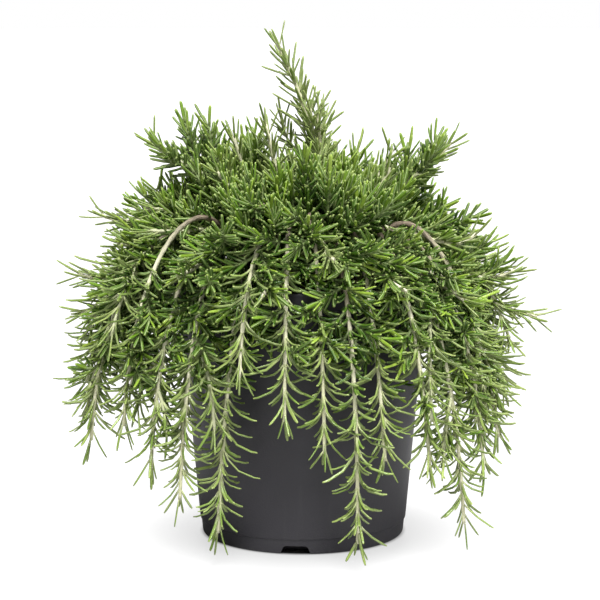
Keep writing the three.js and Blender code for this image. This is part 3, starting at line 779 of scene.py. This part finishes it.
def clumps(points):
    """Where shoots crowd, and where they are few: two sine waves along each of the three directions,
    added up and divided by three."""
    phase = 2 * np.pi * points / CLUMP_SIZE
    return (np.sin(phase + CLUMP_PHASE) + np.sin(phase[..., [1, 2, 0]] * 0.7)).sum(-1) / 3


def open_runs():
    """Points every few millimetres along the arches whose bark shows."""
    runs = []
    for number, (start, end) in OPEN_ARCHES.items():
        stem = stem_axis(STEMS["trailing"][number - 1])
        share = stem.place / stem.length
        runs.append(stem.line[(share > start) & (share < end)])
    return np.vstack(runs)


OPEN_RUNS = open_runs()


def hides_an_arch(points):
    """Whether points lie before an open arch: less than its breadth from a line that leaves the
    arch towards the viewer."""
    offset = points[..., None, :] - OPEN_RUNS
    before = (offset * OPEN_SIDE).sum(-1)
    aside = np.linalg.norm(offset - before[..., None] * OPEN_SIDE, axis=-1)
    return ((aside < OPEN_BREADTH) & (before > -OPEN_BEHIND)).any(-1)


def clear_of_pot(points, margin):
    """Whether points lie off the pot, above the mix and above the ground by a margin."""
    radius = np.linalg.norm(points[..., :2], axis=-1)
    height = points[..., 2]
    outer = np.where(height > POT_HEIGHT - POT_RIM_HEIGHT, POT_RIM_RADIUS, wall_radius(height))
    above_mix = height > mix_height(radius) + margin
    inside = (radius < wall_radius(height) - POT_WALL - margin) & above_mix
    beyond = (radius > outer + margin) | (height > POT_HEIGHT + margin)
    return (inside | beyond) & (height > margin)


def bark_tube(axis, bark, joint_gap):
    """A tube round an axis: at angle a its point is line + r (over cos a - across sin a). The
    radius runs through three values and swells a little at every leaf joint."""
    share = axis.place / axis.length
    radius = np.interp(share, (0, 0.5, 1), bark.radii)
    joints = 0.5 + 0.5 * np.cos(2 * np.pi * axis.place / joint_gap)
    radius = (radius * (1 + JOINT_SWELL * joints**4))[:, None, None]
    angle = np.linspace(0, 2 * np.pi, bark.sides, endpoint=False)[None, :, None]
    round_about = axis.over[:, None] * np.cos(angle) - axis.across[:, None] * np.sin(angle)
    points = axis.line[:, None] + radius * round_about
    run = np.broadcast_to(axis.place[:, None, None], (len(share), bark.sides, 1))
    grain = np.concatenate([radius * np.cos(angle), radius * np.sin(angle), run], -1)
    wood = np.interp(share, (0, 1), bark.woodiness)[:, None, None]
    life = [np.full_like(run, 0.5), np.broadcast_to(wood, run.shape), np.full_like(run, bark.greenness)]
    life = np.concatenate(life, -1)
    faces = ring_faces(len(share), bark.sides)
    return SimpleNamespace(points=points, faces=faces, pattern=grain, life=life, finish=0)


def leaf_places(length, bare, gap):
    """Distances at which leaf pairs stand, a gap apart and closer towards the tip: the number
    of pairs up to a distance x from the tip is the sum of 1/gap(x)."""
    from_tip = np.linspace(0, length - bare, 240)
    tip_gap = min(TIP_GAP, 0.75 * gap)
    spacing = tip_gap + (gap - tip_gap) * np.clip(from_tip / TIP_RUN, 0, 1)
    passed = np.r_[0, np.cumsum(np.diff(from_tip) / (0.5 * (spacing[1:] + spacing[:-1])))]
    return length - np.interp(np.arange(0.35, passed[-1]), passed, from_tip)


def leaves_on(axis, joint, bare, habit, draw):
    """The leaves along one axis, as arrays with one row a leaf: it starts along a heading between
    the axis and the side it stands on, and turns evenly into its curl, outwards where the axis
    hangs and along it where it stands. Down from the tip leaves get older and longer, and past
    the silvery stretch greener and shorter."""
    places = leaf_places(axis.length, bare, habit.gap)
    number = np.arange(len(places))[:, None]
    turn, size, extra_lean = np.array(joint, float).T
    count = (len(places), len(turn))
    angle = JOINT_TURN * number + turn + draw.uniform(0, 360) + draw.normal(0, TURN_SPREAD, count)
    angle = np.radians(angle.ravel())[:, None]
    point, along, across, over = (np.repeat(v, len(turn), axis=0) for v in axis_at(axis, places))
    away = over * np.cos(angle) + across * np.sin(angle)
    left = np.repeat(axis.length - places, len(turn))
    age = np.clip(left / min(habit.young_run, 0.55 * axis.length), 0, 1)
    old = np.clip((left - habit.silver_run) / AGEING_RUN, 0, 1)
    silver = habit.silver * (1 - 0.85 * old[:, None])
    hanging = np.clip(-along[:, 2:], 0, 1)
    tilt = TIP_LEAN + (habit.lean - TIP_LEAN) * age * (1 - hanging[:, 0])
    tilt += np.tile(extra_lean, len(places)) * age
    tilt = np.radians(tilt + draw.normal(0, LEAN_SPREAD, tilt.shape))[:, None]
    heading = along * np.cos(tilt) + away * np.sin(tilt)
    tip_length = min(TIP_LEAF_LENGTH, habit.length)
    shrinkage = max(habit.length - OLD_LEAF_LENGTH, 0)
    length = tip_length + (habit.length - tip_length) * age - shrinkage * old
    length = length * np.tile(size, len(places)) * (1 + draw.uniform(*LEAF_JITTER, length.shape))
    drooping = hanging * age[:, None]
    flared = drooping * (1.2 * away + 0.3 * UP)
    gathered = (1 - hanging) * ((0.35 - 0.35 * silver) * along + 0.2 * UP)
    wander = 0.11 * draw.normal(size=heading.shape)
    curl = unit(heading * (1 - 0.7 * drooping) + flared + gathered + wander)
    return SimpleNamespace(
        root=point + away * LEAF_SEAT,
        heading=heading,
        curl=curl,
        face=square_to(along, heading),
        length=length[:, None],
        size=np.tile(size, len(places))[:, None],
        age=age[:, None],
        silver=silver,
    )


def joined_leaves(groups):
    """All leaf rows of several axes in one."""
    names = vars(groups[0]).keys()
    return SimpleNamespace(**{name: np.vstack([getattr(g, name) for g in groups]) for name in names})


def leaf_line(leaves, along):
    """A leaf's centre line: it starts along its heading and turns evenly into its curl, so it
    is root + length (heading t + (curl - heading) t^2 / 2)."""
    t = np.asarray(along)[None, :, None]
    heading, curl = leaves.heading[:, None], leaves.curl[:, None]
    line = leaves.root[:, None] + leaves.length[:, None] * (heading * t + (curl - heading) * t**2 / 2)
    return line, unit(heading + (curl - heading) * t)


def leaf_blades(leaves, draw):
    """Needle leaves: the section's points, set out square to each leaf's centre line. Leaves that
    would cut into the pot or hide an open arch are left out, and so are small ones near a tip.
    Small, young and silvery leaves are slimmer."""
    line = leaf_line(leaves, TESTED_ALONG)[0]
    is_open = hides_an_arch(line).any(-1) & (draw.uniform(0, 1, len(leaves.root)) < OPEN_SHARE)
    keep = clear_of_pot(line, LEAF_CLEARANCE).all(-1) & ~is_open
    keep &= (leaves.size[:, 0] > 0.9) | (leaves.age[:, 0] > 0.45)
    leaves = SimpleNamespace(**{name: values[keep] for name, values in vars(leaves).items()})
    count = len(leaves.root)
    line, direction = leaf_line(leaves, LEAF_ALONG)
    roll = draw.normal(0, ROLL_SPREAD, (count, 1))
    side = np.cross(leaves.heading, leaves.face)
    face = leaves.face * np.cos(roll) + side * np.sin(roll)
    side = square_to(np.cross(direction, face[:, None]), direction)
    top = np.cross(side, direction) * -1
    stout = (0.72 + 0.28 * leaves.size) * (0.84 + 0.16 * leaves.age) * (1 - 0.2 * leaves.silver)
    stout = stout * (1 + 0.1 * draw.normal(size=(count, 1)))
    wide = LEAF_HALF_WIDTH * stout[:, :, None, None] * LEAF_WIDE[None, :, None, None]
    thick = LEAF_HALF_THICKNESS * stout[:, :, None, None] * LEAF_THICK[None, :, None, None]
    across, up = LEAF_SECTION.T[:, None, None, :, None]
    points = line[:, :, None] + side[:, :, None] * wide * across + top[:, :, None] * thick * up
    shape = points.shape[:3] + (1,)
    pattern = [LEAF_ALONG[None, :, None, None], SECTION_ACROSS[None, None, :, None]]
    pattern.append(SECTION_UNDER[None, None, :, None])
    tint = draw.uniform(0, 1, (count, 1, 1, 1))
    life = [tint, leaves.age[:, :, None, None], leaves.silver[:, :, None, None]]
    return SimpleNamespace(
        points=points,
        faces=ring_faces(len(LEAF_ALONG), len(LEAF_SECTION), count),
        pattern=np.concatenate([np.broadcast_to(p, shape) for p in pattern], -1),
        life=np.concatenate([np.broadcast_to(p, shape) for p in life], -1),
        finish=1,
    )


def lay_spray(name, parts, finishes):
    """One stem with all it bears, as one mesh of two materials."""
    starts = np.cumsum([0] + [part.points.size // 3 for part in parts])
    points = np.vstack([part.points.reshape(-1, 3) for part in parts])
    faces = [some + start for part, start in zip(parts, starts) for some in part.faces]
    spray = lay_mesh(name, points, faces)
    finish = np.concatenate([np.full(len(some), part.finish) for part in parts for some in part.faces])
    for material in finishes:
        spray.data.materials.append(material)
    spray.data.polygons.foreach_set("material_index", finish.astype(np.int32))
    for label in ("pattern", "life"):
        values = np.vstack([getattr(part, label).reshape(-1, 3) for part in parts])
        layer = spray.data.attributes.new(label, "FLOAT_VECTOR", "POINT")
        layer.data.foreach_set("vector", values.astype(np.float32).ravel())
    spray.data.shade_smooth()
    return spray


def grow_stem(kind, number, row, finishes):
    """One stem with its branches, its side shoots and all their leaves, as one piece."""
    growth = GROWTH[kind]
    seed = STEM_SEED + 100 * list(STEMS).index(kind) + number
    draw = np.random.default_rng(seed)
    stem = stem_axis(row)
    branches = branch_axes(stem, BRANCHING[kind], np.random.default_rng(seed + BRANCH_SEED))
    shoots = shoot_axes(stem, growth, draw)
    habit = HABITS[kind]
    shoot_habit = HABITS[growth.shoot_habit]
    bark = [bark_tube(stem, BARK["stem"], habit.gap)]
    bark += [bark_tube(shoot, BARK["shoot"], shoot_habit.gap) for shoot in shoots]
    bark += [bark_tube(branch, BARK["branch"], habit.gap) for branch in branches]
    leaves = [leaves_on(stem, STEM_JOINT, growth.leafy_from * stem.length, habit, draw)]
    leaves += [leaves_on(branch, STEM_JOINT, BARE_BASE, habit, draw) for branch in branches]
    leaves += [leaves_on(shoot, SHOOT_JOINT, BARE_BASE, shoot_habit, draw) for shoot in shoots]
    blades = leaf_blades(joined_leaves(leaves), draw)
    spray = lay_spray(f"{kind}_spray_{number:02d}", [*bark, blades], finishes)
    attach(spray, "root")
    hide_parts(f"{kind}_stem_{number:02d}")


def split_attribute(tree, name):
    """The three numbers that a mesh attribute holds at each point."""
    vector = lay_shader(tree, "Attribute", {"attribute_name": name}).outputs["Vector"]
    parts = lay_shader(tree, "SeparateXYZ", Vector=vector).outputs
    return vector, parts[0], parts[1], parts[2]


def rosemary_bark():
    """Bark: grey-brown and furrowed where the stem is old, pale and downy where it is young."""
    material, tree, shader = new_finish("rosemary_bark")
    grain, _, _, _ = split_attribute(tree, "pattern")
    _, _, wood, green = split_attribute(tree, "life")
    stretched = lay_shader(tree, "Mapping", Vector=grain, Scale=(1.0, 1.0, 0.16))
    broad, fine = mottled(tree, stretched.outputs[0], 420.0, 1900.0)
    old = blended(tree, fine, (0.07, 0.047, 0.032), (0.30, 0.235, 0.165))
    young = blended(tree, broad, (0.60, 0.60, 0.37), (0.84, 0.81, 0.60))
    young = blended(tree, green, young, (0.12, 0.21, 0.03))
    aged = stepped(tree, wood, 0.38, 0.66)
    tree.links.new(blended(tree, aged, young, old), shader.inputs["Base Color"])
    shader.inputs["Roughness"].default_value = 0.7
    bumped(tree, shader, fine, 0.00035, 0.7)
    return material


def rosemary_leaf():
    """Leaf: glossy green above with a painted highlight along its groove, grey-green and felted
    below with a raised midrib, and a blunt tip with a painted highlight. Young leaves are yellower,
    old ones darker green and painted darker still as shade inside the mound, and silvery ones grey
    with painted light wrap as well. Leaf bases are pale, partly their own colour, partly painted
    glints."""
    material, tree, shader = new_finish("rosemary_leaf")
    _, along, across, under = split_attribute(tree, "pattern")
    _, tint, age, silver = split_attribute(tree, "life")
    broad, fine = mottled(tree, place_on(tree), 60.0, 1500.0)
    # Old leaves are near black: partly their own darker green, partly painted shade for the inside of
    # the mound, where the old leaves stand.
    mature_and_painted_shade = blended(tree, tint, (0.005, 0.027, 0.001), (0.028, 0.088, 0.002))
    fresh = blended(tree, tint, (0.14, 0.285, 0.016), (0.37, 0.52, 0.06))
    upper = blended(tree, stepped(tree, age, 0.1, 0.95), fresh, mature_and_painted_shade)
    # Silvery grey near the tips: partly the leaves' own grey, partly painted light wrap and sheen on
    # the outer shoots against the white surroundings.
    grey_and_painted_wrap = blended(tree, tint, (0.165, 0.235, 0.056), (0.355, 0.425, 0.145))
    upper = blended(tree, scaled(tree, silver, 0.85), upper, grey_and_painted_wrap)
    upper = blended(tree, scaled(tree, broad, 0.28), upper, (0.05, 0.16, 0.004))
    # Painted highlight: a paler streak along the groove on top, standing in for a glossy glint.
    painted_groove_highlight = stepped(tree, scaled(tree, across, -1.0, 0.45), 0.1, 0.35)
    upper = blended(tree, scaled(tree, painted_groove_highlight, 0.3), upper, (0.24, 0.38, 0.04))
    green_felt = blended(tree, fine, (0.045, 0.11, 0.012), (0.11, 0.21, 0.03))
    grey_felt = blended(tree, fine, (0.14, 0.205, 0.055), (0.28, 0.35, 0.12))
    felt = blended(tree, silver, green_felt, grey_felt)
    midrib = stepped(tree, under, 0.88, 0.96)
    below = blended(tree, midrib, felt, (0.38, 0.46, 0.18))
    is_below = stepped(tree, under, 0.54, 0.66)
    sides = blended(tree, is_below, upper, below)
    # Painted highlight: the blunt tip is paled, standing in for a glint on it.
    painted_tip_highlight = scaled(tree, stepped(tree, along, 0.9, 1.0), 0.5)
    with_painted_tip_highlight = blended(tree, painted_tip_highlight, sides, (0.42, 0.5, 0.16))
    # Pale leaf bases: partly their own pale colour, partly painted glints at the bases.
    pale_base_and_painted_glint = product(tree, stepped(tree, along, 0.42, 0.04), scaled(tree, silver, 0.6, 0.2))
    with_pale_base_and_glint = blended(tree, pale_base_and_painted_glint, with_painted_tip_highlight, (0.52, 0.54, 0.31))
    tree.links.new(with_pale_base_and_glint, shader.inputs["Base Color"])
    tree.links.new(scaled(tree, is_below, 0.36, 0.26), shader.inputs["Roughness"])
    shader.inputs["Specular IOR Level"].default_value = 0.4
    bumped(tree, shader, fine, 0.00012, 0.5)
    return material


finishes = [rosemary_bark(), rosemary_leaf()]
for kind, rows in STEMS.items():
    for number, row in enumerate(rows, start=1):
        grow_stem(kind, number, row, finishes)

# ================================ floor, light and camera
# A plain white floor under soft light from above in front, with weaker lights from behind and from
# the right, and a camera with a long lens that stands level with the highest tip.
FLOOR_HALF = 60.0
FLOOR_GLOW = 0.97
WORLD_LIGHT = 0.07
CAMERA_PLACE = (-0.0019, -1.2648, 0.3273)
CAMERA_PITCH = -8
LENS_LENGTH = 120
SENSOR_WIDTH = 36
# Each light: its name, bearing, height above the floor, breadth and strength.
LIGHTS = [
    ("key", 4, 62, 18, 5.6),
    ("front", 12, 28, 30, 0.25),
    ("backdrop", 178, 26, 50, 1.0),
    ("side", 76, 30, 40, 1.35),
]


def pale_floor():
    """A wide white sheet. To the camera it glows evenly, with a painted shadow round the pot: no glow
    under the pot's foot, and less close beside it, rising with the distance from the axis; to
    everything else it is a plain grey."""
    corner = FLOOR_HALF * np.array([(-1, -1, 0), (1, -1, 0), (1, 1, 0), (-1, 1, 0)], float)
    floor = lay_mesh("floor", corner, [np.array([[0, 1, 2, 3]])])
    material, tree, shader = new_finish("white_floor")
    seen = lay_shader(tree, "LightPath").outputs["Is Camera Ray"]
    white = blended(tree, seen, (0.5, 0.5, 0.5), (0.08, 0.08, 0.08))
    tree.links.new(white, shader.inputs["Base Color"])
    shader.inputs["Roughness"].default_value = 0.6
    shader.inputs["Emission Color"].default_value = (1, 1, 1, 1)
    level = lay_shader(tree, "VectorMath", {"operation": "LENGTH"}, in0=place_on(tree)).outputs["Value"]
    # Painted shadow: no glow under the pot's foot, so the floor seen through the notches is dark, and a
    # glow that fades in beside the pot as a painted contact shadow.
    under = stepped(tree, level, POT_FOOT_RADIUS - 0.004, POT_FOOT_RADIUS + 0.002)
    beside = stepped(tree, level, POT_FOOT_RADIUS - 0.01, POT_FOOT_RADIUS + 0.06)
    glow_with_painted_shadow = product(tree, under, scaled(tree, beside, 0.35, 0.65))
    glow = scaled(tree, product(tree, seen, glow_with_painted_shadow), FLOOR_GLOW)
    tree.links.new(glow, shader.inputs["Emission Strength"])
    floor.data.materials.append(material)


def broad_light(name, bearing, height, breadth, strength):
    """An even light from far away, as wide as a large softbox: bearing, height above the floor
    and breadth are in degrees."""
    lamp = bpy.data.lights.new(name, "SUN")
    lamp.angle = np.radians(breadth)
    lamp.energy = strength
    light = lay_out(name, lamp)
    light.rotation_euler = (np.radians(90 - height), 0, np.radians(bearing))


def white_surroundings():
    """White to the camera, but only a faint light on the plant."""
    world = bpy.data.worlds.new("studio")
    world.use_nodes = True
    tree = world.node_tree
    background = tree.nodes["Background"]
    background.inputs["Color"].default_value = (1, 1, 1, 1)
    seen = lay_shader(tree, "LightPath").outputs["Is Camera Ray"]
    strength = scaled(tree, seen, 1 - WORLD_LIGHT, WORLD_LIGHT)
    tree.links.new(strength, background.inputs["Strength"])
    bpy.context.scene.world = world


def photographer():
    """Stands 1.26 m in front, looking 8 degrees down through a 120 mm lens."""
    lens = bpy.data.cameras.new("camera")
    lens.lens = LENS_LENGTH
    lens.sensor_width = SENSOR_WIDTH
    camera = lay_out("camera", lens)
    camera.location = CAMERA_PLACE
    camera.rotation_euler = (np.radians(90 + CAMERA_PITCH), 0, 0)
    bpy.context.scene.camera = camera


pale_floor()
for light in LIGHTS:
    broad_light(*light)
white_surroundings()
photographer()
bpy.context.scene.view_settings.view_transform = "Standard"
